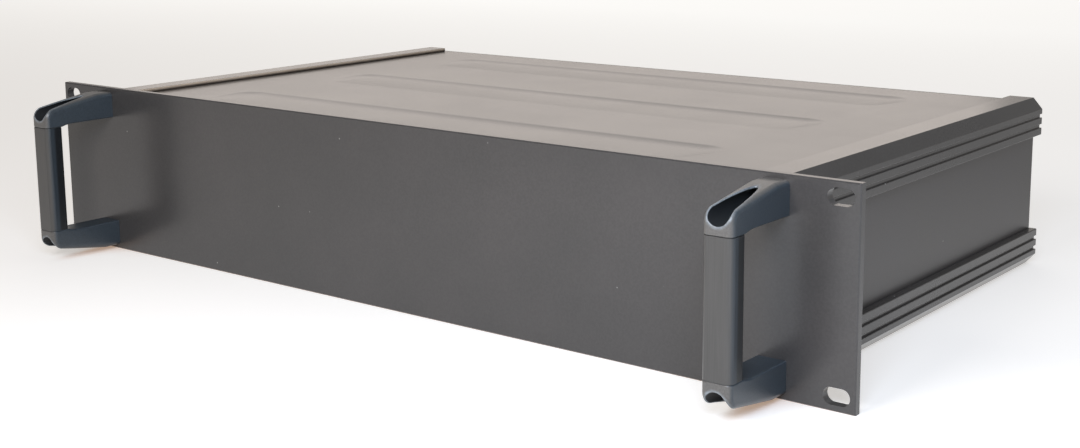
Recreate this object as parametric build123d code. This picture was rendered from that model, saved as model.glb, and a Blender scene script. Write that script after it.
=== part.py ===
from build123d import *
import math
import os

# Rack mount case, two units high. Millimetres.
# X runs across the panel, Y into the case, Z up.
# The origin is the middle of the four rack slots, on the back face of the front panel.

# Front panel, a 19 inch rack plate
panel_width = 482.6
panel_height = 88.1
panel_thickness = 4.0
panel_edge_chamfer = 0.5
rack_slot_from_side = 8.0
rack_slot_spacing_up = 76.2
rack_slot_length = 11.4
rack_slot_width = 6.8

# Body behind the panel, outside the rails
ear_width = 30.3
body_top_step = 2.1
body_depth = 256.0

# Sheets and their play in the rail slots
cover_thickness = 1.5
side_thickness = 1.5
slot_play = 0.1
sheet_edge_play = 0.3

# Section of a corner rail
rail_width = 17.5
rail_height = 18.6
rail_chamfer_across = 4.8
rail_chamfer_down = 5.5
cover_lip = 1.9
cover_slot_depth = 6.0
cover_ledge = 2.0
side_lip = 4.0
side_slot_depth = 5.5
side_inner_lip = 2.0
rail_core_width = 10.0
groove_width = 1.8
groove_depth = 1.1
groove_mouth_radius = 0.3
groove_first_down = 8.9
groove_pitch = 5.2
groove_count = 2
rail_edge_radius = 0.4
screw_boss_wall = 1.6
screw_boss_gap = 1.4

# Pressings in the covers
pressing_count = 3
pressing_pitch = 90.0
pressing_set_back = 3.0
pressing_length = 313.0
pressing_width = 22.0
pressing_drop = 0.6

# Rear panel
rear_thickness = 2.0
rear_side_inset = 4.8
rear_corner_radius = 2.0

# Handles
handle_from_side = 5.4
handle_height = 84.0
handle_width = 13.0
handle_reach = 41.0
handle_level = 8.5
handle_drop = 5.2
handle_corner_radius = 6.0
handle_outer_radius = 2.6
handle_inner_radius = 0.7
finger_gap_height = 56.4
heel_radius = 20.0
heel_depth = 0.6
grip_length = 54.4
grip_depth = 9.0
grip_wall = 2.4
grip_cavity_radius = 0.8
tenon_length = 10.0
tenon_play = 0.3
pocket_floor = 7.0
pocket_diameter = 9.4
pocket_rim_radius = 0.5

# Screws and washers
handle_screw_spacing = 71.2
screw_diameter = 4.0
screw_hole_play = 0.4
thread_core = 3.5
thread_play = 0.1
handle_screw_length = 25.0
cap_head_diameter = 7.0
cap_head_height = 4.0
cap_socket = 3.0
cap_socket_depth = 2.2
head_chamfer = 0.4
washer_diameter = 9.0
washer_thickness = 0.8
rear_screw_length = 10.0
button_head_diameter = 7.6
button_head_height = 2.2
button_head_round = 1.6
button_socket = 2.5
button_socket_depth = 1.3

# Worked out from the sizes above
rack_slot_spacing_across = panel_width - 2 * rack_slot_from_side
body_width = panel_width - 2 * ear_width
body_height = panel_height - body_top_step
body_bottom = -panel_height / 2
body_top = body_bottom + body_height
body_middle = (body_top + body_bottom) / 2
half_width = body_width / 2
cover_slot = cover_thickness + 2 * slot_play
side_slot = side_thickness + 2 * slot_play
cover_ledge_down = cover_lip + cover_slot
core_bottom_down = rail_height - side_slot_depth
side_slot_inner = side_lip + side_slot
handle_x = half_width - handle_from_side
handle_screw_z = handle_screw_spacing / 2
screw_hole = screw_diameter + screw_hole_play
channel_width = thread_core + thread_play
boss_radius = channel_width / 2 + screw_boss_wall
boss_across = rail_core_width + boss_radius
boss_down = cover_ledge_down + cover_ledge + boss_radius
cover_face_down = cover_lip + slot_play
pressing_radius = (pressing_width**2 / 4 + pressing_drop**2) / (2 * pressing_drop)
panel_front = -panel_thickness
seam = grip_length / 2


def rail_point(across, down):
    """A point of the top right rail's section, from the case's outer face and top face."""
    return (half_width - across, body_top - down)


def rail_outline():
    """Outline of the rail with its two sheet slots and its chamfered corner."""
    inner_lip = side_slot_inner + side_inner_lip
    ledge_bottom = cover_ledge_down + cover_ledge
    slot_end = rail_width - cover_slot_depth
    return Polygon(
        rail_point(rail_width, 0),
        rail_point(rail_width, cover_lip),
        rail_point(slot_end, cover_lip),
        rail_point(slot_end, cover_ledge_down),
        rail_point(rail_width, cover_ledge_down),
        rail_point(rail_width, ledge_bottom),
        rail_point(rail_core_width, ledge_bottom),
        rail_point(rail_core_width, core_bottom_down),
        rail_point(inner_lip, core_bottom_down),
        rail_point(inner_lip, rail_height),
        rail_point(side_slot_inner, rail_height),
        rail_point(side_slot_inner, core_bottom_down),
        rail_point(side_lip, core_bottom_down),
        rail_point(side_lip, rail_height),
        rail_point(0, rail_height),
        rail_point(0, rail_chamfer_down),
        rail_point(rail_chamfer_across, 0),
        align=None,
    )


def rail_section():
    """Full section of the top right rail."""
    section = rail_outline()
    rounded = [
        rail_point(rail_width, 0),
        rail_point(rail_chamfer_across, 0),
        rail_point(0, rail_chamfer_down),
        rail_point(0, rail_height),
        rail_point(side_lip, rail_height),
    ]
    corners = [section.vertices().sort_by_distance((x, z, 0))[0] for x, z in rounded]
    section = fillet(corners, rail_edge_radius)

    # boss for the rear screws, in the corner below the cover's ledge
    boss_x, boss_z = rail_point(boss_across, boss_down)
    section += Pos(boss_x, boss_z) * Circle(boss_radius)
    web_x, web_z = rail_point(rail_core_width, cover_ledge_down + cover_ledge)
    web = Rectangle(web_x - boss_x, web_z - boss_z)
    section += Pos((web_x + boss_x) / 2, (web_z + boss_z) / 2) * web
    section -= Pos(boss_x, boss_z) * Circle(channel_width / 2)
    gap_length = boss_radius + screw_boss_wall
    section -= Pos(boss_x, boss_z - gap_length / 2) * Rectangle(screw_boss_gap, gap_length)

    # closed channel for a handle screw, long enough for the upper and the lower screw
    upper_down = body_top - handle_screw_z
    lower_down = -handle_screw_z - body_bottom
    channel_z = body_top - (upper_down + lower_down) / 2
    channel_travel = abs(upper_down - lower_down)
    channel = Circle(channel_width / 2)
    if channel_travel > 0:
        channel = Rot(0, 0, 90) * SlotCenterToCenter(channel_travel, channel_width)
    section -= Pos(handle_x, channel_z) * channel

    # grooves along the outer face, with softened mouths
    for index in range(groove_count):
        _, groove_z = rail_point(0, groove_first_down + index * groove_pitch)
        section -= Pos(half_width, groove_z) * Rectangle(2 * groove_depth, groove_width)
        rims = [(half_width, groove_z + side * groove_width / 2, 0) for side in (1, -1)]
        mouths = [section.vertices().sort_by_distance(rim)[0] for rim in rims]
        section = fillet(mouths, groove_mouth_radius)
    return section


def to_left(shape):
    return mirror(shape, about=Plane.YZ)


def to_bottom(shape):
    return mirror(shape, about=Plane.XY.offset(body_middle))


def make_rails():
    """The four rails: one section, mirrored to each corner."""
    top_right = extrude(Plane.XZ * rail_section(), amount=-body_depth)
    return {
        "top_right_rail": top_right,
        "top_left_rail": to_left(top_right),
        "bottom_right_rail": to_bottom(top_right),
        "bottom_left_rail": to_left(to_bottom(top_right)),
    }


def pressing_form(radius, y_middle, z_middle):
    """A long round bar with ball ends, whose underside shapes one face of a pressing."""
    straight = pressing_length - pressing_width
    form = Cylinder(radius, straight, rotation=(0, 90, 0))
    for side in (-1, 1):
        form += Pos(side * straight / 2, 0, 0) * Sphere(radius)
    return Pos(0, y_middle, z_middle) * form


def make_top_cover():
    """Cover sheet with its shallow pressings, each as thick as the sheet."""
    half = half_width - rail_width + cover_slot_depth - sheet_edge_play
    length = body_depth - sheet_edge_play
    top = body_top - cover_face_down
    under = top - cover_thickness
    sheet = Pos(0, sheet_edge_play + length / 2, top - cover_thickness / 2) * Box(
        2 * half, length, cover_thickness
    )
    z_middle = top - pressing_drop + pressing_radius
    for index in range(pressing_count):
        offset = (index - (pressing_count - 1) / 2) * pressing_pitch
        y_middle = body_depth / 2 + pressing_set_back + offset
        below = Pos(0, y_middle, under - pressing_drop) * Box(
            2 * pressing_length, 2 * pressing_width, 2 * pressing_drop
        )
        sheet += pressing_form(pressing_radius + cover_thickness, y_middle, z_middle) & below
        sheet -= pressing_form(pressing_radius, y_middle, z_middle)
    return sheet


def make_right_side():
    """Side sheet in the slots of the two right rails."""
    height = body_height - 2 * core_bottom_down - 2 * sheet_edge_play
    length = body_depth - sheet_edge_play
    outer = half_width - side_lip - slot_play
    place = Pos(outer - side_thickness / 2, sheet_edge_play + length / 2, body_middle)
    return place * Box(side_thickness, length, height)


def make_front_panel():
    """Rack plate with slots in its ears and holes for the handle screws."""
    plate = Box(panel_width, panel_thickness, panel_height)
    plate = Pos(0, panel_front / 2, 0) * plate
    rims = plate.faces().sort_by(Axis.Y)
    plate = chamfer(rims[0].edges() + rims[-1].edges(), panel_edge_chamfer)
    slots = GridLocations(rack_slot_spacing_across, rack_slot_spacing_up, 2, 2)
    holes = GridLocations(2 * handle_x, handle_screw_spacing, 2, 2)
    cuts = slots * SlotOverall(rack_slot_length, rack_slot_width)
    cuts = Sketch() + cuts + holes * Circle(screw_hole / 2)
    return plate - extrude(Plane.XZ * cuts, amount=2 * panel_thickness, both=True)


def make_rear_panel():
    """Plain plate over the rear ends of the rails, flush with the covers' faces."""
    width = body_width - 2 * rear_side_inset
    height = body_height - 2 * cover_face_down
    plate = RectangleRounded(width, height, rear_corner_radius)
    for x, z in rear_screw_places():
        plate -= Pos(x, z - body_middle) * Circle(screw_hole / 2)
    rear_plane = Plane.XZ.offset(-body_depth)
    return extrude(rear_plane * Pos(0, body_middle) * plate, amount=-rear_thickness)


def rear_screw_places():
    """The rear screws stand in the rails' bosses."""
    x, z = rail_point(boss_across, boss_down)
    low = 2 * body_middle - z
    return [(x, z), (-x, z), (x, low), (-x, low)]


def handle_point(reach, z):
    """A point of the handle's side view, from the panel's front face."""
    return (panel_front - reach, z)


def make_upper_end():
    """Upper moulded end of the right handle: arm, corner, pocket for the screw and tenon for the grip."""
    underside = finger_gap_height / 2
    top = handle_height / 2
    heel_reach = handle_reach - grip_depth - heel_depth
    heel_rise = underside - seam
    heel_run = math.sqrt(heel_radius**2 - (heel_radius - heel_rise) ** 2)
    arm = Polyline(
        handle_point(heel_reach, seam),
        handle_point(handle_reach, seam),
        handle_point(handle_reach, top - handle_drop),
        handle_point(handle_level, top),
        handle_point(0, top),
        handle_point(0, underside),
        handle_point(heel_reach - heel_run, underside),
    )
    heel = TangentArc(
        [handle_point(heel_reach - heel_run, underside), handle_point(heel_reach, seam)],
        tangent=(-1, 0),
    )
    side = make_face([arm.edges(), heel.edges()])
    corner = side.vertices().sort_by_distance((*handle_point(handle_reach, top), 0))[0]
    side = fillet(corner, handle_corner_radius)
    body = extrude(Plane.YZ.offset(handle_x - handle_width / 2) * side, amount=handle_width)

    # the long edges are rounded, more on the outside, and the foot and the seam stay sharp
    flanks = body.faces().filter_by(Axis.X).edges()
    foot = flanks.filter_by_position(Axis.Y, panel_front, panel_front)
    joint = flanks.filter_by_position(Axis.Z, seam, seam)
    long_edges = [edge for edge in flanks if edge not in foot + joint]
    hand_side, _ = handle_point(handle_reach - grip_depth / 2, 0)
    inner = [
        edge
        for edge in long_edges
        if edge.center().Y > hand_side and edge.center().Z < (underside + top) / 2
    ]
    body = fillet([edge for edge in long_edges if edge not in inner], handle_outer_radius)
    ends = [body.edges().sort_by_distance(edge.center())[0] for edge in inner]
    body = fillet(ends, handle_inner_radius)

    # the pocket runs out through the slope, and its rim is rounded
    pocket_plane = Plane.XZ.offset(-panel_front + pocket_floor)
    pocket = Pos(handle_x, handle_screw_z) * Circle(pocket_diameter / 2)
    body -= extrude(pocket_plane * pocket, amount=handle_reach)
    floor, _ = handle_point(pocket_floor, 0)
    walls = body.faces().filter_by(GeomType.CYLINDER)
    wall = walls.sort_by(lambda face: abs(face.radius - pocket_diameter / 2))[0]
    rim = [edge for edge in wall.edges() if edge.center().Y < floor - pocket_rim_radius]
    body = fillet(rim, pocket_rim_radius)
    hole = Pos(handle_x, handle_screw_z) * Circle(screw_hole / 2)
    body -= extrude(Plane.XZ.offset(-panel_front) * hole, amount=pocket_floor)

    tenon = RectangleRounded(
        handle_width - 2 * grip_wall - 2 * tenon_play,
        grip_depth - 2 * grip_wall - 2 * tenon_play,
        grip_cavity_radius - tenon_play,
    )
    return body + extrude(grip_place(seam - tenon_length) * tenon, amount=tenon_length)


def grip_place(z):
    """The middle of the right handle's grip at a height."""
    return Pos(handle_x, panel_front - handle_reach + grip_depth / 2, z)


def make_grip():
    """Straight hollow grip between the two ends."""
    outline = Rectangle(handle_width, grip_depth)
    front, rear = outline.vertices().group_by(Axis.Y)
    outline = fillet(front, handle_outer_radius)
    outline = fillet(outline.vertices().group_by(Axis.Y)[-1], handle_inner_radius)
    cavity = RectangleRounded(
        handle_width - 2 * grip_wall, grip_depth - 2 * grip_wall, grip_cavity_radius
    )
    return grip_place(-seam) * extrude(outline - cavity, amount=grip_length)


def along_y(shape, x, y, z, forward):
    """Stands a screw built along +Z on its head's seat, pointing to +Y or -Y."""
    turn = -90 if forward else 90
    return Pos(x, y, z) * Rot(turn, 0, 0) * shape


def screw_shank(length, plain):
    """Shank below a head's seat at z = 0: plain first, then the core of its thread."""
    shank = Pos(0, 0, plain / 2) * Cylinder(screw_diameter / 2, plain)
    thread = length - plain
    end = Pos(0, 0, plain + thread / 2) * Cylinder(thread_core / 2, thread)
    tip = end.edges().sort_by(Axis.Z)[-1]
    return shank + chamfer(tip, head_chamfer)


def make_cap_screw():
    """Cap screw for a handle."""
    head = Pos(0, 0, -cap_head_height / 2) * Cylinder(cap_head_diameter / 2, cap_head_height)
    head = chamfer(head.edges().sort_by(Axis.Z)[0], head_chamfer)
    socket = RegularPolygon(cap_socket / 2, 6, major_radius=False)
    head -= Pos(0, 0, -cap_head_height) * extrude(socket, amount=cap_socket_depth)
    plain = washer_thickness + pocket_floor + panel_thickness
    return head + screw_shank(handle_screw_length, plain)


def make_button_screw():
    """Button head screw for the rear panel."""
    head = Pos(0, 0, -button_head_height / 2) * Cylinder(
        button_head_diameter / 2, button_head_height
    )
    head = fillet(head.edges().sort_by(Axis.Z)[0], button_head_round)
    socket = RegularPolygon(button_socket / 2, 6, major_radius=False)
    head -= Pos(0, 0, -button_head_height) * extrude(socket, amount=button_socket_depth)
    return head + screw_shank(rear_screw_length, rear_thickness)


def make_washer():
    ring = Circle(washer_diameter / 2) - Circle(screw_hole / 2)
    return extrude(ring, amount=washer_thickness)


def handle_fasteners():
    """Screws and washers of the right handle, one of each in either end."""
    floor = panel_front - pocket_floor
    screws = []
    washers = []
    for z in (handle_screw_z, -handle_screw_z):
        screws.append(along_y(make_cap_screw(), handle_x, floor - washer_thickness, z, True))
        washers.append(along_y(make_washer(), handle_x, floor - washer_thickness, z, True))
    return Compound(children=screws), Compound(children=washers)


def rear_fasteners():
    """Screws of the rear panel."""
    seat = body_depth + rear_thickness
    screws = [along_y(make_button_screw(), x, seat, z, False) for x, z in rear_screw_places()]
    return Compound(children=screws)


def make_handles():
    """Both handles with their fasteners: the left one mirrors the right one."""
    upper = make_upper_end()
    screws, washers = handle_fasteners()
    right = {
        "handle_upper_end": upper,
        "handle_lower_end": mirror(upper, about=Plane.XY),
        "handle_grip": make_grip(),
        "handle_screws": screws,
        "handle_washers": washers,
    }
    nodes = {}
    for name, shape in right.items():
        nodes["right_" + name] = shape
        nodes["left_" + name] = to_left(shape)
    return nodes


def make_nodes():
    """Every piece of the case by its name."""
    top_cover = make_top_cover()
    right_side = make_right_side()
    nodes = {
        "front_panel": make_front_panel(),
        "rear_panel": make_rear_panel(),
        "top_cover": top_cover,
        "bottom_cover": to_bottom(top_cover),
        "right_side_panel": right_side,
        "left_side_panel": to_left(right_side),
        "rear_panel_screws": rear_fasteners(),
    }
    nodes.update(make_rails())
    nodes.update(make_handles())
    return nodes


os.makedirs("parts", exist_ok=True)
for node, shape in make_nodes().items():
    export_step(shape, f"parts/{node}.step")
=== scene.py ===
import math

import bmesh
import bpy
from mathutils import Matrix, Vector


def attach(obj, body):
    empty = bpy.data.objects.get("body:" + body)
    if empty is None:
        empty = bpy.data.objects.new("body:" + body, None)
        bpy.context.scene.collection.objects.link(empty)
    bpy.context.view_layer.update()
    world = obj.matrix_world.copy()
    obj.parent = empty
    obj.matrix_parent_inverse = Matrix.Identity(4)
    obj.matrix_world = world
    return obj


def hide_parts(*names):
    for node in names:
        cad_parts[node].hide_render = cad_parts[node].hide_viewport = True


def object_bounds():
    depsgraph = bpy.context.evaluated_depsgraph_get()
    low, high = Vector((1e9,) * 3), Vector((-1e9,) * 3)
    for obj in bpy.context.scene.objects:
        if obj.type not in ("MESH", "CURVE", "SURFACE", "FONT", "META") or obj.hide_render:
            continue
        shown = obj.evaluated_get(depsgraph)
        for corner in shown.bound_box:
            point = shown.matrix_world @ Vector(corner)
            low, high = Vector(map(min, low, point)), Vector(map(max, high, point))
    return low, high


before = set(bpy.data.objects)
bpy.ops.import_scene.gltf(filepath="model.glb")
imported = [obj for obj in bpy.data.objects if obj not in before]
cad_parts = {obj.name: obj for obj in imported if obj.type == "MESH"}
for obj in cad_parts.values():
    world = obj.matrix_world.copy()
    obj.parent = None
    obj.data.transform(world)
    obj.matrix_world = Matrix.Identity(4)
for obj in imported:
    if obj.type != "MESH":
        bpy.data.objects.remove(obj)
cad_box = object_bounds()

# Camera. It stands in front of the case, to the right and a little above, as the
# photographer's did. Its place comes from the corners of the 19 inch panel.
image_width, image_height = 1080, 448
focal_px, centre_x_px, centre_y_px = 1531.5, 555.8, 150.7
camera_place = Vector((0.4868, -0.4991, 0.15405))
yaw, pitch, roll = math.radians(37.89), math.radians(10.17), math.radians(-0.39)
forward = Vector((-math.sin(yaw) * math.cos(pitch), math.cos(yaw) * math.cos(pitch), -math.sin(pitch)))
level_right = Vector((math.cos(yaw), math.sin(yaw), 0))
level_up = level_right.cross(forward)
camera_right = level_right * math.cos(roll) + level_up * math.sin(roll)
camera_up = level_up * math.cos(roll) - level_right * math.sin(roll)
camera = bpy.data.objects.new("camera", bpy.data.cameras.new("camera"))
camera.data.sensor_fit = "HORIZONTAL"
camera.data.sensor_width = 36
camera.data.lens = focal_px / image_width * 36
camera.data.shift_x = (image_width / 2 - centre_x_px) / image_width
camera.data.shift_y = (centre_y_px - image_height / 2) / image_width
camera.data.clip_end = 50
turn = Matrix((camera_right, camera_up, -forward)).transposed()
camera.matrix_world = Matrix.Translation(camera_place) @ turn.to_4x4()
bpy.context.scene.collection.objects.link(camera)
bpy.context.scene.camera = camera
bpy.context.scene.view_settings.view_transform = "Standard"


# Studio floor. A wide sheet of white laminate that runs on past the picture. Its glow is a
# painted shade near the case: a little greyer and warmer on the left, and neutral on the right.
def paint_colour(code):
    """sRGB hex to the linear colour that a shader takes."""
    parts = [int(code[i:i + 2], 16) / 255 for i in (1, 3, 5)]
    return [p / 12.92 if p <= 0.04045 else ((p + 0.055) / 1.055) ** 2.4 for p in parts] + [1]


def add_node(material, kind, settings=None, **links):
    """Adds a node, sets its properties and inputs, and links the named inputs."""
    node = material.node_tree.nodes.new(kind)
    for name, value in (settings or {}).items():
        if isinstance(name, str) and hasattr(node, name) and name not in node.inputs:
            setattr(node, name, value)
        else:
            node.inputs[name].default_value = value
    for name, source in links.items():
        socket = int(name[5:]) if name.startswith("input") else name.replace("_", " ")
        material.node_tree.links.new(source, node.inputs[socket])
    return node


def new_material(name):
    """An empty node material with its output."""
    material = bpy.data.materials.new(name)
    material.use_nodes = True
    material.node_tree.nodes.clear()
    return material


floor_z = cad_box[0][2]
floor_mesh = bpy.data.meshes.new("floor")
shape = bmesh.new()
sheet_half_size = 6
bmesh.ops.create_grid(shape, x_segments=1, y_segments=1, size=sheet_half_size)
bmesh.ops.translate(shape, verts=shape.verts, vec=(0, 0, floor_z))
shape.to_mesh(floor_mesh)
shape.free()
floor = bpy.data.objects.new("floor", floor_mesh)
bpy.context.scene.collection.objects.link(floor)

laminate = new_material("white_laminate")
place = add_node(laminate, "ShaderNodeTexCoord")
split = add_node(laminate, "ShaderNodeSeparateXYZ", Vector=place.outputs["Object"])
# the glow changes from left to right over 1.1 m, and from near to far over 1.5 m, darker near the case as a
# painted shade
across = add_node(laminate, "ShaderNodeMapRange", {"From Min": -0.5, "From Max": 0.6}, Value=split.outputs["X"])
depth = add_node(laminate, "ShaderNodeMapRange", {"From Min": -0.1, "From Max": 1.4}, Value=split.outputs["Y"])
left_tone = add_node(laminate, "ShaderNodeValToRGB", Fac=depth.outputs["Result"])
left_tone.color_ramp.elements[0].color = paint_colour("#d8d2cc")
left_tone.color_ramp.elements[1].color = paint_colour("#fffefb")
right_tone = add_node(laminate, "ShaderNodeValToRGB", Fac=depth.outputs["Result"])
right_tone.color_ramp.elements[0].color = paint_colour("#d8d6d4")
right_tone.color_ramp.elements[1].color = paint_colour("#faf7f4")
open_tone = add_node(laminate, "ShaderNodeMix", {"data_type": "RGBA"}, Factor=across.outputs["Result"],
                     input6=left_tone.outputs["Color"], input7=right_tone.outputs["Color"])
# close under the handles, which end 2 mm above it, only a little warm light gets in
covered = add_node(laminate, "ShaderNodeAmbientOcclusion", {"samples": 8, "Distance": 0.03})
open_share = add_node(laminate, "ShaderNodeMapRange", {"From Min": 0.25, "From Max": 0.5},
                      Value=covered.outputs["AO"])
behind_panel = add_node(laminate, "ShaderNodeMath", {"operation": "GREATER_THAN", 1: 0.0},
                        input0=split.outputs["Y"])
uncovered = add_node(laminate, "ShaderNodeMath", {"operation": "MAXIMUM"},
                     input0=open_share.outputs["Result"], input1=behind_panel.outputs[0])
tone = add_node(laminate, "ShaderNodeMix", {"data_type": "RGBA", 6: paint_colour("#c2a793")},
                Factor=uncovered.outputs[0], input7=open_tone.outputs[2])
rays = add_node(laminate, "ShaderNodeLightPath")
# its mirror image in the case's sides is weaker further off, where less light falls on it
further = add_node(laminate, "ShaderNodeMapRange", {"From Min": 0.15, "From Max": 0.55},
                   Value=split.outputs["Y"])
to_right = add_node(laminate, "ShaderNodeMapRange", {"From Min": 0.0, "From Max": 0.25, "To Max": 0.55},
                    Value=split.outputs["X"])
lost = add_node(laminate, "ShaderNodeMath", {"operation": "MULTIPLY"},
                input0=further.outputs["Result"], input1=to_right.outputs["Result"])
beside = add_node(laminate, "ShaderNodeMath", {"operation": "SUBTRACT", 0: 1.0}, input1=lost.outputs[0])
mirrored = add_node(laminate, "ShaderNodeMath", {"operation": "MULTIPLY"},
                    input0=rays.outputs["Is Glossy Ray"], input1=beside.outputs[0])
on_top = add_node(laminate, "ShaderNodeMath", {"operation": "MAXIMUM"},
                  input0=rays.outputs["Is Camera Ray"], input1=mirrored.outputs[0])
seen = add_node(laminate, "ShaderNodeMath", {"operation": "MAXIMUM"},
                input0=on_top.outputs[0], input1=rays.outputs["Is Transmission Ray"])
# a greyer sheet throws light back on the case than the one that is seen
sheet = add_node(laminate, "ShaderNodeBsdfDiffuse", {"Color": paint_colour("#c8c8c8")})
shown = add_node(laminate, "ShaderNodeBsdfDiffuse", {"Color": paint_colour("#d9d9d9")})
power = add_node(laminate, "ShaderNodeMapRange", {"To Min": 0.73, "To Max": 0.92},
                 Value=rays.outputs["Is Glossy Ray"])
glow = add_node(laminate, "ShaderNodeEmission", Color=tone.outputs[2], Strength=power.outputs["Result"])
lit = add_node(laminate, "ShaderNodeAddShader", input0=shown.outputs[0], input1=glow.outputs[0])
mixed = add_node(laminate, "ShaderNodeMixShader", input0=seen.outputs[0], input1=sheet.outputs[0],
                 input2=lit.outputs[0])
add_node(laminate, "ShaderNodeOutputMaterial", Surface=mixed.outputs[0])
floor_mesh.materials.append(laminate)


# Studio light. Warm white walls stand low behind the case under a dim ceiling, and the
# room in front is darker. A wide soft box stands behind the case to the left, and two
# small bright lamps hang close in front of it, to the right.
world = bpy.data.worlds.new("white_room")
world.use_nodes = True
bpy.context.scene.world = world
room = world.node_tree.nodes["Background"]
aim = add_node(world, "ShaderNodeTexCoord")
way = add_node(world, "ShaderNodeSeparateXYZ", Vector=aim.outputs["Generated"])
walls = add_node(world, "ShaderNodeValToRGB", Fac=way.outputs["Z"])
walls.color_ramp.elements[0].position = 0.0
walls.color_ramp.elements[0].color = paint_colour("#ccc5bf")
walls.color_ramp.elements[1].position = 0.8
walls.color_ramp.elements[1].color = paint_colour("#9b9a99")
for height_share, code in ((0.18, "#c8c1bb"), (0.28, "#9c9b9a")):
    walls.color_ramp.elements.new(height_share).color = paint_colour(code)
world.node_tree.links.new(walls.outputs["Color"], room.inputs["Color"])
# the darker room in front gives 28 parts in a hundred of what stands behind
front_share = add_node(world, "ShaderNodeMapRange", {"From Min": -0.35, "From Max": 0.25, "To Min": 0.28},
                       Value=way.outputs["Y"])
world.node_tree.links.new(front_share.outputs["Result"], room.inputs["Strength"])


def soft_lamp(name, place, target, width, height, brightness, colour):
    """An even lit sheet: its brightness is what a camera would see on it, 1 being white."""
    lamp = bpy.data.lights.new(name, "AREA")
    lamp.shape = "RECTANGLE"
    lamp.size = width
    lamp.size_y = height
    lamp.energy = brightness * 4 * width * height
    lamp.color = paint_colour(colour)[:3]
    holder = bpy.data.objects.new(name, lamp)
    throw = Vector(target) - Vector(place)
    holder.matrix_world = Matrix.Translation(place) @ throw.to_track_quat("-Z", "Y").to_matrix().to_4x4()
    holder.visible_camera = False
    bpy.context.scene.collection.objects.link(holder)


soft_lamp("box_behind", (-1.75, 2.39, 1.0), (0, 0.1, 0), 2.18, 1.3, 0.67, "#fff3ea")
soft_lamp("lamp_to_right", (0.47, -0.43, 0.36), (0.25, 0, 0), 0.3, 0.24, 12, "#dcebff")
soft_lamp("lamp_in_front", (0.13, -0.5, 0.33), (0.2, 0, 0), 0.24, 0.2, 12, "#fffaf5")


# Front panel. A 4 mm aluminium rack plate, sawn and punched, then powder coated in a
# satin dark grey. The handle screws hold it against the ends of the corner rails.
def powder_coat(name, colour, thick_colour, roughness, peel_mm, peel_depth_mm):
    """Satin powder coat: melted grains leave a fine orange peel, which softens reflections."""
    coat = new_material(name)
    place = add_node(coat, "ShaderNodeTexCoord")
    # the peel is really about 0.4 mm across, and is drawn wider so that it shows
    peel = add_node(coat, "ShaderNodeTexNoise", {"Scale": 1000 / peel_mm, "Detail": 3.0, "Roughness": 0.55},
                    Vector=place.outputs["Object"])
    # the film is a little thicker in some places than in others, 45 mm apart
    film = add_node(coat, "ShaderNodeTexNoise", {"Scale": 1000 / 45, "Detail": 3.0},
                    Vector=place.outputs["Object"])
    film_share = add_node(coat, "ShaderNodeMapRange", {"From Min": 0.3, "From Max": 0.7},
                          Value=film.outputs["Fac"])
    shade = add_node(coat, "ShaderNodeMix",
                     {"data_type": "RGBA", 6: paint_colour(colour), 7: paint_colour(thick_colour)},
                     input0=film_share.outputs["Result"])
    # pigment grains, a little darker and lighter than the film, drawn 0.9 mm apart so that they show
    pigment = add_node(coat, "ShaderNodeTexNoise", {"Scale": 1000 / 0.9, "Detail": 2.0},
                       Vector=place.outputs["Object"])
    grain = add_node(coat, "ShaderNodeMapRange",
                     {"From Min": 0.35, "From Max": 0.65, "To Min": 0.94, "To Max": 1.06},
                     Value=pigment.outputs["Fac"])
    grainy = add_node(coat, "ShaderNodeVectorMath", {"operation": "SCALE"}, input0=shade.outputs[2],
                      Scale=grain.outputs["Result"])
    # dust that settled on the coat: specks of half a millimetre, a hand apart
    dust = add_node(coat, "ShaderNodeTexVoronoi", {"Scale": 1000 / 14}, Vector=place.outputs["Object"])
    speck = add_node(coat, "ShaderNodeMapRange",
                     {"From Min": 0.018, "From Max": 0.032, "To Min": 0.6, "To Max": 0.0},
                     Value=dust.outputs["Distance"])
    dusty = add_node(coat, "ShaderNodeMix", {"data_type": "RGBA", 7: paint_colour("#b9b5b0")},
                     input0=speck.outputs["Result"], input6=grainy.outputs[0])
    unevenness = 0.012
    sheen = add_node(coat, "ShaderNodeMapRange",
                     {"From Min": 0.3, "From Max": 0.7, "To Min": roughness - unevenness,
                      "To Max": roughness + unevenness}, Value=film.outputs["Fac"])
    bump = add_node(coat, "ShaderNodeBump", {"Strength": 0.4, "Distance": peel_depth_mm / 1000},
                    Height=peel.outputs["Fac"])
    body = add_node(coat, "ShaderNodeBsdfPrincipled", {"IOR": 1.5}, Base_Color=dusty.outputs[2],
                    Roughness=sheen.outputs["Result"], Normal=bump.outputs["Normal"])
    add_node(coat, "ShaderNodeOutputMaterial", Surface=body.outputs[0])
    return coat


def node_box(node):
    """Lowest and highest corner of a CAD node."""
    corners = [corner.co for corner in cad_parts[node].data.vertices]
    low = Vector([min(corner[axis] for corner in corners) for axis in range(3)])
    return low, Vector([max(corner[axis] for corner in corners) for axis in range(3)])


def fitted_piece(shape, node, name, materials):
    """Turns a bmesh into the finished piece that shows in place of a CAD node."""
    mesh = bpy.data.meshes.new(name)
    shape.to_mesh(mesh)
    shape.free()
    for material in materials:
        mesh.materials.append(material)
    mesh.polygons.foreach_set("use_smooth", [True] * len(mesh.polygons))
    mesh.set_sharp_from_angle(angle=math.radians(32))
    piece = bpy.data.objects.new(name, mesh)
    bpy.context.scene.collection.objects.link(piece)
    # wide flat faces keep their own direction, and only the narrow ones between them turn
    weighted = piece.modifiers.new("flat_faces_first", "WEIGHTED_NORMAL")
    weighted.keep_sharp = True
    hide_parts(node)
    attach(piece, "root")
    return piece


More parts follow.
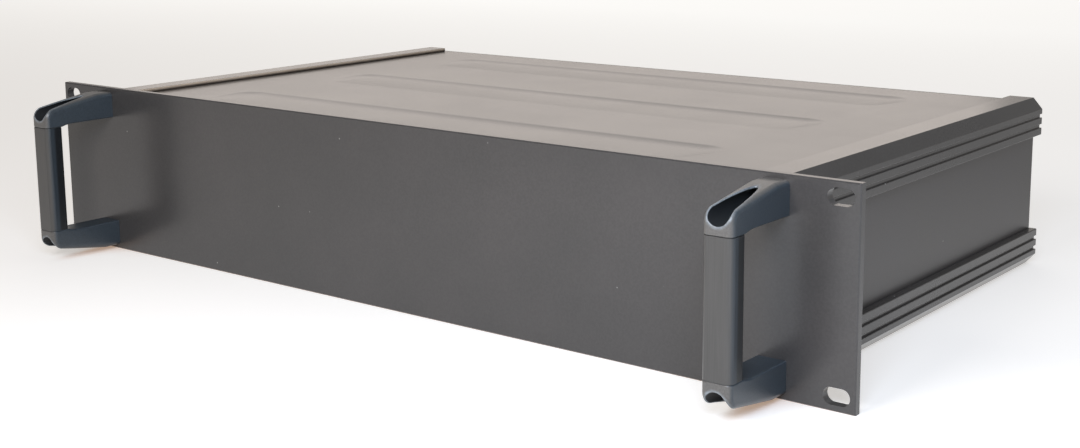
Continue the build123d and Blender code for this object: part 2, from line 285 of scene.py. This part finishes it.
def finished_copy(node, name, edge_mm, materials):
    """A merged copy of a CAD node. Its sharp edges are broken by a tiny bevel, or kept where edge_mm is 0."""
    shape = bmesh.new()
    shape.from_mesh(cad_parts[node].data)
    bmesh.ops.remove_doubles(shape, verts=shape.verts, dist=1e-6)
    bmesh.ops.dissolve_limit(shape, angle_limit=math.radians(0.5), verts=shape.verts, edges=shape.edges)
    if edge_mm:
        sharp = [edge for edge in shape.edges
                 if edge.is_manifold and edge.calc_face_angle() > math.radians(40)]
        bmesh.ops.bevel(shape, geom=sharp, offset=edge_mm / 1000, offset_type="OFFSET", affect="EDGES", segments=2,
                        profile=0.5, material=-1, clamp_overlap=True)
    return fitted_piece(shape, node, name, materials)


panel_coat = powder_coat("satin_grey_powder_coat_on_plate", "#434140", "#494645", 0.25, 0.8, 0.03)
finished_copy("front_panel", "coated_rack_plate", 0.25, [panel_coat])


# Corner rails. Extruded aluminium in the same grey coat, sawn to the depth of the case
# after coating, so their ends are bare. Grooves, slots and screw channels run through.
def sawn_aluminium(name):
    """Bare sawn metal: fine scratches from the blade, all one way, in a slightly dull grey."""
    cut = new_material(name)
    place = add_node(cut, "ShaderNodeTexCoord")
    # the blade's marks are 9 mm long and 0.15 mm apart, and are drawn 0.4 mm apart so that they show
    drawn = add_node(cut, "ShaderNodeMapping", {"Scale": (1 / 9, 1, 1 / 0.4)}, Vector=place.outputs["Object"])
    marks = add_node(cut, "ShaderNodeTexNoise", {"Scale": 1000.0, "Detail": 4.0, "Distortion": 0.3},
                     Vector=drawn.outputs["Vector"])
    bright = add_node(cut, "ShaderNodeValToRGB", Fac=marks.outputs["Fac"])
    bright.color_ramp.elements[0].position = 0.3
    bright.color_ramp.elements[0].color = paint_colour("#8f9193")
    bright.color_ramp.elements[1].position = 0.7
    bright.color_ramp.elements[1].color = paint_colour("#c9cbcd")
    dull = add_node(cut, "ShaderNodeMapRange",
                    {"From Min": 0.3, "From Max": 0.7, "To Min": 0.52, "To Max": 0.34},
                    Value=marks.outputs["Fac"])
    bump = add_node(cut, "ShaderNodeBump", {"Strength": 0.6, "Distance": 0.00004}, Height=marks.outputs["Fac"])
    body = add_node(cut, "ShaderNodeBsdfPrincipled", {"Metallic": 1.0}, Base_Color=bright.outputs["Color"],
                    Roughness=dull.outputs["Result"], Normal=bump.outputs["Normal"])
    add_node(cut, "ShaderNodeOutputMaterial", Surface=body.outputs[0])
    return cut


rail_coat = powder_coat("satin_grey_powder_coat_on_extrusion", "#413e3c", "#464341", 0.21, 0.8, 0.02)
sawn = sawn_aluminium("sawn_rail_end")
# the thin lips' inner faces are painted pale, a painted reflection of the bright cover beside them
lip_reflection_coat = powder_coat("painted_reflection_coat_on_lip", "#c4b09c", "#d2c0ac", 0.4, 0.8, 0.02)
body_middle_z = -0.00105
lip_edge_x, lip_from_middle = 0.1935, 0.041
for corner in ("top_left", "top_right", "bottom_left", "bottom_right"):
    rail = finished_copy(f"{corner}_rail", f"{corner}_coated_rail", 0, [rail_coat, sawn, lip_reflection_coat])
    for face in rail.data.polygons:
        on_lip = abs(face.center.z - body_middle_z) > lip_from_middle
        if abs(face.normal.y) > 0.99:
            face.material_index = 1
        elif on_lip and abs(abs(face.center.x) - lip_edge_x) < 0.0002:
            face.material_index = 2


# Covers. Steel sheet 1.5 mm thick, pressed with three long shallow troughs, coated as
# the rails are but with a coarser grain, and slid into the rails' slots from behind.
sheet_thickness = 0.0015
trough_middles = (0.043, 0.133, 0.223)
trough_half_length = 0.153
trough_end_length = 0.012


def trough_depth(x, y):
    """Depth at a place of the cover. The flank towards the rear is the steeper one, and the ends are round."""
    depth, front_flank, rear_flank = 0.0006, 0.028, 0.009
    along = max(abs(x) - (trough_half_length - trough_end_length), 0) / trough_end_length
    deepest = 0
    for middle in trough_middles:
        across = (y - middle) / (rear_flank if y > middle else front_flank)
        deepest = max(deepest, depth * (1 - along ** 2 - across ** 2))
    return deepest


def pressed_sheet(node, name, upward, material):
    """Sheet cut into strips 1 mm wide where the troughs are, pressed in, and given its thickness."""
    low, high = node_box(node)
    strip = 0.001
    shape = bmesh.new()
    bmesh.ops.create_grid(shape, x_segments=1, y_segments=1, size=0.5)
    bmesh.ops.scale(shape, vec=(high.x - low.x, high.y - low.y, 1), verts=shape.verts)
    bmesh.ops.translate(shape, vec=(0, (low.y + high.y) / 2, 0), verts=shape.verts)
    cuts = [((side * (trough_half_length + strip - step * strip), 0, 0), (1, 0, 0))
            for side in (-1, 1) for step in range(15)]
    cuts += [((0, middle + step * strip, 0), (0, 1, 0)) for middle in trough_middles for step in range(-29, 11)]
    for place, direction in cuts:
        bmesh.ops.bisect_plane(shape, geom=shape.verts[:] + shape.edges[:] + shape.faces[:], plane_co=place,
                               plane_no=direction)
    for vert in shape.verts:
        vert.co.z = -trough_depth(vert.co.x, vert.co.y)
    bmesh.ops.solidify(shape, geom=shape.faces, thickness=sheet_thickness)
    top = max(vert.co.z for vert in shape.verts)
    bmesh.ops.translate(shape, vec=(0, 0, high.z - top if upward else -low.z - top), verts=shape.verts)
    if not upward:
        bmesh.ops.scale(shape, vec=(1, 1, -1), verts=shape.verts)
    bmesh.ops.recalc_face_normals(shape, faces=shape.faces)
    return fitted_piece(shape, node, name, [material])


cover_coat = powder_coat("textured_grey_powder_coat_on_cover", "#484543", "#4e4b49", 0.235, 1.0, 0.03)
pressed_sheet("top_cover", "top_pressed_sheet", True, cover_coat)
pressed_sheet("bottom_cover", "bottom_pressed_sheet", False, cover_coat)


# Side panels and rear panel. Plain steel sheet with the covers' coat. The sides stand in
# the rails' slots, and the rear plate is screwed over the rails' ends.
side_coat = powder_coat("satin_grey_powder_coat_on_side", "#434040", "#484543", 0.36, 0.8, 0.03)
for side in ("left", "right"):
    finished_copy(f"{side}_side_panel", f"{side}_coated_sheet", 0.15, [side_coat])
finished_copy("rear_panel", "coated_rear_plate", 0.3, [side_coat])


# Handle ends. Moulded in blue-black nylon with a fine spark-eroded skin, hollowed by a
# deep round pocket for the screw, whose rim carries a painted highlight. Each has a tenon in the grip.
handle_screw_x, handle_screw_z = 0.2056, 0.0356


def handle_finish_with_painted_light(name, colour, sheen_colour, shade_colour, shade_from, roughness, grain_size):
    """Blue-black flanks with a painted sheen, greyer on the faces towards the front and the top, painted shade
    darkest in the pocket and on a grip flank's rear, and a painted highlight on the pocket's rim.
    """
    skin = new_material(name)
    place = add_node(skin, "ShaderNodeTexCoord")
    facing = add_node(skin, "ShaderNodeNewGeometry")
    turned = add_node(skin, "ShaderNodeSeparateXYZ", Vector=facing.outputs["True Normal"])
    # a painted sheen: faces towards the front, and on the upper ends those towards the top, are greyer
    forwards = add_node(skin, "ShaderNodeMapRange", {"From Min": -0.3, "From Max": -0.75},
                        Value=turned.outputs["Y"])
    upwards = add_node(skin, "ShaderNodeMapRange", {"From Min": 0.55, "From Max": 0.95},
                       Value=turned.outputs["Z"])
    level = add_node(skin, "ShaderNodeSeparateXYZ", Vector=place.outputs["Object"])
    upper_half = add_node(skin, "ShaderNodeMath", {"operation": "GREATER_THAN", 1: 0.0}, input0=level.outputs["Z"])
    top_side = add_node(skin, "ShaderNodeMath", {"operation": "MULTIPLY"},
                        input0=upwards.outputs["Result"], input1=upper_half.outputs[0])
    sheen_faces = add_node(skin, "ShaderNodeMath", {"operation": "MAXIMUM"},
                         input0=forwards.outputs["Result"], input1=top_side.outputs[0])
    stretched = add_node(skin, "ShaderNodeMapping", {"Scale": grain_size}, Vector=place.outputs["Object"])
    grain = add_node(skin, "ShaderNodeTexNoise", {"Scale": 1000.0, "Detail": 3.0},
                     Vector=stretched.outputs["Vector"])
    # a painted shade: a grip's flank is painted darker towards its rear, where the panel beside it shades it
    fade = 0.0005
    behind = add_node(skin, "ShaderNodeMapRange", {"From Min": shade_from - fade, "From Max": shade_from + fade},
                      Value=level.outputs["Y"])
    flank = add_node(skin, "ShaderNodeMix",
                     {"data_type": "RGBA", 6: paint_colour(colour), 7: paint_colour(shade_colour)},
                     input0=behind.outputs["Result"])
    shade = add_node(skin, "ShaderNodeMix", {"data_type": "RGBA", 7: paint_colour(sheen_colour)},
                     input0=sheen_faces.outputs[0], input6=flank.outputs[2])
    # distance from the screw's axis, the same at all four pockets
    folded = add_node(skin, "ShaderNodeVectorMath", {"operation": "ABSOLUTE"}, input0=place.outputs["Object"])
    shifted = add_node(skin, "ShaderNodeVectorMath",
                       {"operation": "SUBTRACT", 1: (handle_screw_x, 0, handle_screw_z)}, input0=folded.outputs[0])
    flat = add_node(skin, "ShaderNodeVectorMath", {"operation": "MULTIPLY", 1: (1, 0, 1)},
                    input0=shifted.outputs[0])
    away = add_node(skin, "ShaderNodeVectorMath", {"operation": "LENGTH"}, input0=flat.outputs[0])
    rim_highlight_noise = add_node(skin, "ShaderNodeTexNoise", {"Scale": 1000 / 1.6, "Detail": 3.0},
                       Vector=place.outputs["Object"])
    # a painted highlight on the rim, about a millimetre wide, in patches
    edge_out = add_node(skin, "ShaderNodeMapRange", {"From Min": 0.0061, "From Max": 0.0050},
                        Value=away.outputs["Value"])
    patches = add_node(skin, "ShaderNodeMapRange",
                       {"From Min": 0.35, "From Max": 0.6, "To Min": 0.45, "To Max": 0.95},
                       Value=rim_highlight_noise.outputs["Fac"])
    rim_highlight = add_node(skin, "ShaderNodeMath", {"operation": "MULTIPLY"}, input0=edge_out.outputs["Result"],
                    input1=patches.outputs["Result"])
    highlighted_rim = add_node(skin, "ShaderNodeMix", {"data_type": "RGBA", 7: paint_colour("#8f959a")},
                      input0=rim_highlight.outputs[0], input6=shade.outputs[2])
    # the pocket is 9.4 mm wide, and its inside is painted near-black, a painted shade
    hollow = add_node(skin, "ShaderNodeMapRange", {"From Min": 0.00482, "From Max": 0.00472},
                      Value=away.outputs["Value"])
    pocket_shaded = add_node(skin, "ShaderNodeMix", {"data_type": "RGBA", 7: paint_colour("#0c1116")},
                        input0=hollow.outputs["Result"], input6=highlighted_rim.outputs[2])
    grain_share = add_node(skin, "ShaderNodeMapRange",
                           {"From Min": 0.35, "From Max": 0.65, "To Min": 0.88, "To Max": 1.12},
                           Value=grain.outputs["Fac"])
    grainy = add_node(skin, "ShaderNodeVectorMath", {"operation": "SCALE"}, input0=pocket_shaded.outputs[2],
                      Scale=grain_share.outputs["Result"])
    gloss = add_node(skin, "ShaderNodeMapRange", {"To Min": roughness, "To Max": 0.75},
                     Value=hollow.outputs["Result"])
    bump = add_node(skin, "ShaderNodeBump", {"Strength": 0.4, "Distance": 0.00003}, Height=grain.outputs["Fac"])
    body = add_node(skin, "ShaderNodeBsdfPrincipled", {"IOR": 1.53}, Base_Color=grainy.outputs[0],
                    Roughness=gloss.outputs["Result"], Normal=bump.outputs["Normal"])
    add_node(skin, "ShaderNodeOutputMaterial", Surface=body.outputs[0])
    return skin


# the moulded ends take a painted sheen, grey, on their front and top faces, and no painted shade on their flanks
# the skin's grain is drawn 0.7 mm across, about twice the real size, so that it shows
moulded = handle_finish_with_painted_light("moulded_blue_black_nylon", "#3a4249", "#625f5c", "#3a4249", 0.0, 0.33,
                         (1 / 0.7, 1 / 0.7, 1 / 0.7))
for side in ("left", "right"):
    for level in ("upper", "lower"):
        finished_copy(f"{side}_handle_{level}_end", f"{side}_{level}_moulded_end", 0.15, [moulded])


# the grip takes a painted sheen, grey, on its front, and a painted shade, near-black, on its flanks behind the
# front edge
# Handle grips. Extruded aluminium with a dark satin finish, sawn to length and held
# between the two moulded ends.
# drawing marks run 30 mm along the grip, and are drawn 0.5 mm apart so that they show
grip_skin = handle_finish_with_painted_light("blue_black_anodised_extrusion", "#2e363d", "#4a4846", "#0e1216", -0.0405, 0.36,
                           (1 / 0.5, 1 / 0.5, 1 / 30))
for side in ("left", "right"):
    finished_copy(f"{side}_handle_grip", f"{side}_anodised_grip", 0.2, [grip_skin])


# Screws and washers. Zinc plated steel. Knurled cap screws hold the handles and button
# heads the rear panel. Both are headed cold, have rolled threads and take a hexagon key.
pocket_floor_y = -0.011
washer_thickness = 0.0008


def zinc_plate(name, axis_x, axis_z, middle_z):
    """Bright zinc: rings from turning about the screw's axis under a thin, uneven yellow and blue film."""
    plate = new_material(name)
    place = add_node(plate, "ShaderNodeTexCoord")
    centred = add_node(plate, "ShaderNodeVectorMath", {"operation": "SUBTRACT", 1: (0, 0, middle_z)},
                       input0=place.outputs["Object"])
    folded = add_node(plate, "ShaderNodeVectorMath", {"operation": "ABSOLUTE"}, input0=centred.outputs[0])
    shifted = add_node(plate, "ShaderNodeVectorMath", {"operation": "SUBTRACT", 1: (axis_x, 0, axis_z)},
                       input0=folded.outputs[0])
    flat = add_node(plate, "ShaderNodeVectorMath", {"operation": "MULTIPLY", 1: (1, 0, 1)},
                    input0=shifted.outputs[0])
    away = add_node(plate, "ShaderNodeVectorMath", {"operation": "LENGTH"}, input0=flat.outputs[0])
    # turning marks 0.25 mm apart, and film patches 2.5 mm apart
    rings = add_node(plate, "ShaderNodeTexNoise", {"noise_dimensions": "1D", "Scale": 1000 / 0.25, "Detail": 2.0},
                     W=away.outputs["Value"])
    film = add_node(plate, "ShaderNodeTexNoise", {"Scale": 1000 / 2.5, "Detail": 3.0},
                    Vector=place.outputs["Object"])
    tint = add_node(plate, "ShaderNodeValToRGB", Fac=film.outputs["Fac"])
    tint.color_ramp.elements[0].position = 0.3
    tint.color_ramp.elements[0].color = paint_colour("#a9b0bb")
    tint.color_ramp.elements[1].position = 0.7
    tint.color_ramp.elements[1].color = paint_colour("#bdb8a4")
    dull = add_node(plate, "ShaderNodeMapRange",
                    {"From Min": 0.3, "From Max": 0.7, "To Min": 0.26, "To Max": 0.42},
                    Value=film.outputs["Fac"])
    bump = add_node(plate, "ShaderNodeBump", {"Strength": 0.4, "Distance": 0.00002}, Height=rings.outputs["Fac"])
    body = add_node(plate, "ShaderNodeBsdfPrincipled", {"Metallic": 1.0}, Base_Color=tint.outputs["Color"],
                    Roughness=dull.outputs["Result"], Normal=bump.outputs["Normal"])
    add_node(plate, "ShaderNodeOutputMaterial", Surface=body.outputs[0])
    return plate


def screw(steps, thread_from, thread_to, to_place):
    """A screw raised from its tip: each step extrudes the last ring to a new radius and height, in mm."""
    shape = bmesh.new()
    bmesh.ops.create_circle(shape, cap_ends=True, segments=72, radius=steps[0][0](0) / 1000)
    bmesh.ops.translate(shape, verts=shape.verts, vec=(0, 0, steps[0][1] / 1000))
    face = shape.faces[:][0]
    for radius_at, height in steps[1:]:
        face = bmesh.ops.extrude_discrete_faces(shape, faces=[face])["faces"][0]
        for vert in face.verts:
            angle = math.atan2(vert.co.y, vert.co.x)
            radius = radius_at(angle) / 1000
            vert.co = (radius * math.cos(angle), radius * math.sin(angle), height / 1000)
    # M4 thread, 0.7 mm to a turn: one three-sided ridge wound up round the core, its root inside the core
    pitch, steps_per_turn = 0.0007, 24
    crest, root, ridge_share = 1.75, 1.4, 0.97
    ridge = [shape.verts.new((radius / 1000, 0, thread_from / 1000 + up)) for radius, up in (
        (root, 0), (crest, pitch / 2), (root, pitch * ridge_share))]
    ridge_edges = [shape.edges.new((ridge[index - 1], ridge[index])) for index in range(3)]
    turns = int((thread_to - thread_from) / 1000 / pitch)
    bmesh.ops.spin(shape, geom=ridge + ridge_edges, cent=(0, 0, 0), axis=(0, 0, 1),
                   dvec=(0, 0, pitch / steps_per_turn), angle=turns * 2 * math.pi, steps=turns * steps_per_turn,
                   use_merge=False)
    # the tip and both ends of the ridge are still open
    bmesh.ops.holes_fill(shape, edges=shape.edges, sides=0)
    bmesh.ops.transform(shape, matrix=to_place, verts=shape.verts)
    return shape


def round_bar(radius):
    """Radius of a plain ring, the same all round."""
    return lambda angle: radius


def hexagon(across_flats):
    """Radius round a key's hexagon."""
    return lambda angle: across_flats / 2 / math.cos((angle % (math.pi / 3)) - math.pi / 6)


def knurl(radius):
    """Radius round a knurled head: a groove 0.12 mm deep every 10 degrees."""
    groove = 0.12
    return lambda angle: radius - groove * (round(angle / math.radians(5)) % 2)


def joined(shapes):
    """One bmesh out of several."""
    whole = bmesh.new()
    for shape in shapes:
        passing = bpy.data.meshes.new("passing")
        shape.to_mesh(passing)
        shape.free()
        whole.from_mesh(passing)
        bpy.data.meshes.remove(passing)
    bmesh.ops.recalc_face_normals(whole, faces=whole.faces)
    return whole


def washer(to_place):
    """A stamped ring, its section of four corners spun once round, with softened edges."""
    shape = bmesh.new()
    inner, outer = 0.0022, 0.0045
    section = ((inner, 0), (outer, 0), (outer, washer_thickness), (inner, washer_thickness))
    corners = [shape.verts.new((x, 0, z)) for x, z in section]
    sides = [shape.edges.new((corners[index - 1], corners[index])) for index in range(4)]
    bmesh.ops.spin(shape, geom=corners + sides, cent=(0, 0, 0), axis=(0, 0, 1), angle=2 * math.pi, steps=72,
                   use_merge=True)
    rims = [edge for edge in shape.edges if edge.is_manifold and edge.calc_face_angle() > math.radians(40)]
    bmesh.ops.bevel(shape, geom=rims, offset=0.00012, offset_type="OFFSET", affect="EDGES", segments=2,
                    profile=0.5, material=-1)
    bmesh.ops.transform(shape, matrix=to_place, verts=shape.verts)
    return shape


# each ring of a screw from its tip: along the shank, out round the head, and down into the key's socket
cap_steps = [(round_bar(1.2), -25.0), (round_bar(1.5), -24.6), (round_bar(1.5), -11.8),
             (round_bar(2.0), -11.6), (round_bar(2.0), 0.0), (round_bar(3.3), 0.0), (knurl(3.5), 0.2),
             (knurl(3.5), 3.6), (round_bar(3.12), 3.98), (round_bar(3.0), 4.0), (round_bar(1.95), 4.0),
             (round_bar(1.78), 3.9), (hexagon(3.0), 3.85), (hexagon(3.0), 1.8), (round_bar(0.1), 1.3)]
dome = [(round_bar(2.2 + 1.6 * math.cos(math.radians(turn))), 0.6 + 1.6 * math.sin(math.radians(turn)))
        for turn in range(0, 91, 15)]
button_steps = [(round_bar(1.2), -10.0), (round_bar(1.5), -9.6), (round_bar(1.5), -2.0),
                (round_bar(2.0), -1.8), (round_bar(2.0), 0.0), (round_bar(3.7), 0.0), (round_bar(3.8), 0.1)]
button_steps += dome
button_steps += [(round_bar(1.62), 2.2), (round_bar(1.5), 2.12), (hexagon(2.5), 2.08), (hexagon(2.5), 0.9),
                 (round_bar(0.1), 0.5)]
handle_zinc = zinc_plate("bright_zinc_on_cap_screw", handle_screw_x, handle_screw_z, 0)
for side, x in (("left", -handle_screw_x), ("right", handle_screw_x)):
    screws, washers = [], []
    for z, key_turn in ((handle_screw_z, 17), (-handle_screw_z, 41)):
        head_seat = (x, pocket_floor_y - washer_thickness, z)
        upright = Matrix.Translation(head_seat) @ Matrix.Rotation(math.radians(90), 4, "X")
        turned = upright @ Matrix.Rotation(math.radians(key_turn), 4, "Z")
        screws.append(screw(cap_steps, -24.6, -11.8, turned))
        washers.append(washer(upright @ Matrix.Translation((0, 0, -washer_thickness))))
    fitted_piece(joined(screws), f"{side}_handle_screws", f"{side}_cap_screws", [handle_zinc])
    fitted_piece(joined(washers), f"{side}_handle_washers", f"{side}_washers", [handle_zinc])

rear_screw_x, rear_screw_z, rear_seat_y = 0.1976, 0.034, 0.258
rear_zinc = zinc_plate("bright_zinc_on_button_screw", rear_screw_x, rear_screw_z, body_middle_z)
screws = []
for x_side, z_side, key_turn in ((1, 1, 8), (-1, 1, 52), (1, -1, 33), (-1, -1, 21)):
    head_seat = (x_side * rear_screw_x, rear_seat_y, body_middle_z + z_side * rear_screw_z)
    outward = Matrix.Translation(head_seat) @ Matrix.Rotation(math.radians(-90), 4, "X")
    turned = outward @ Matrix.Rotation(math.radians(key_turn), 4, "Z")
    screws.append(screw(button_steps, -9.6, -2.0, turned))
fitted_piece(joined(screws), "rear_panel_screws", "rear_button_screws", [rear_zinc])
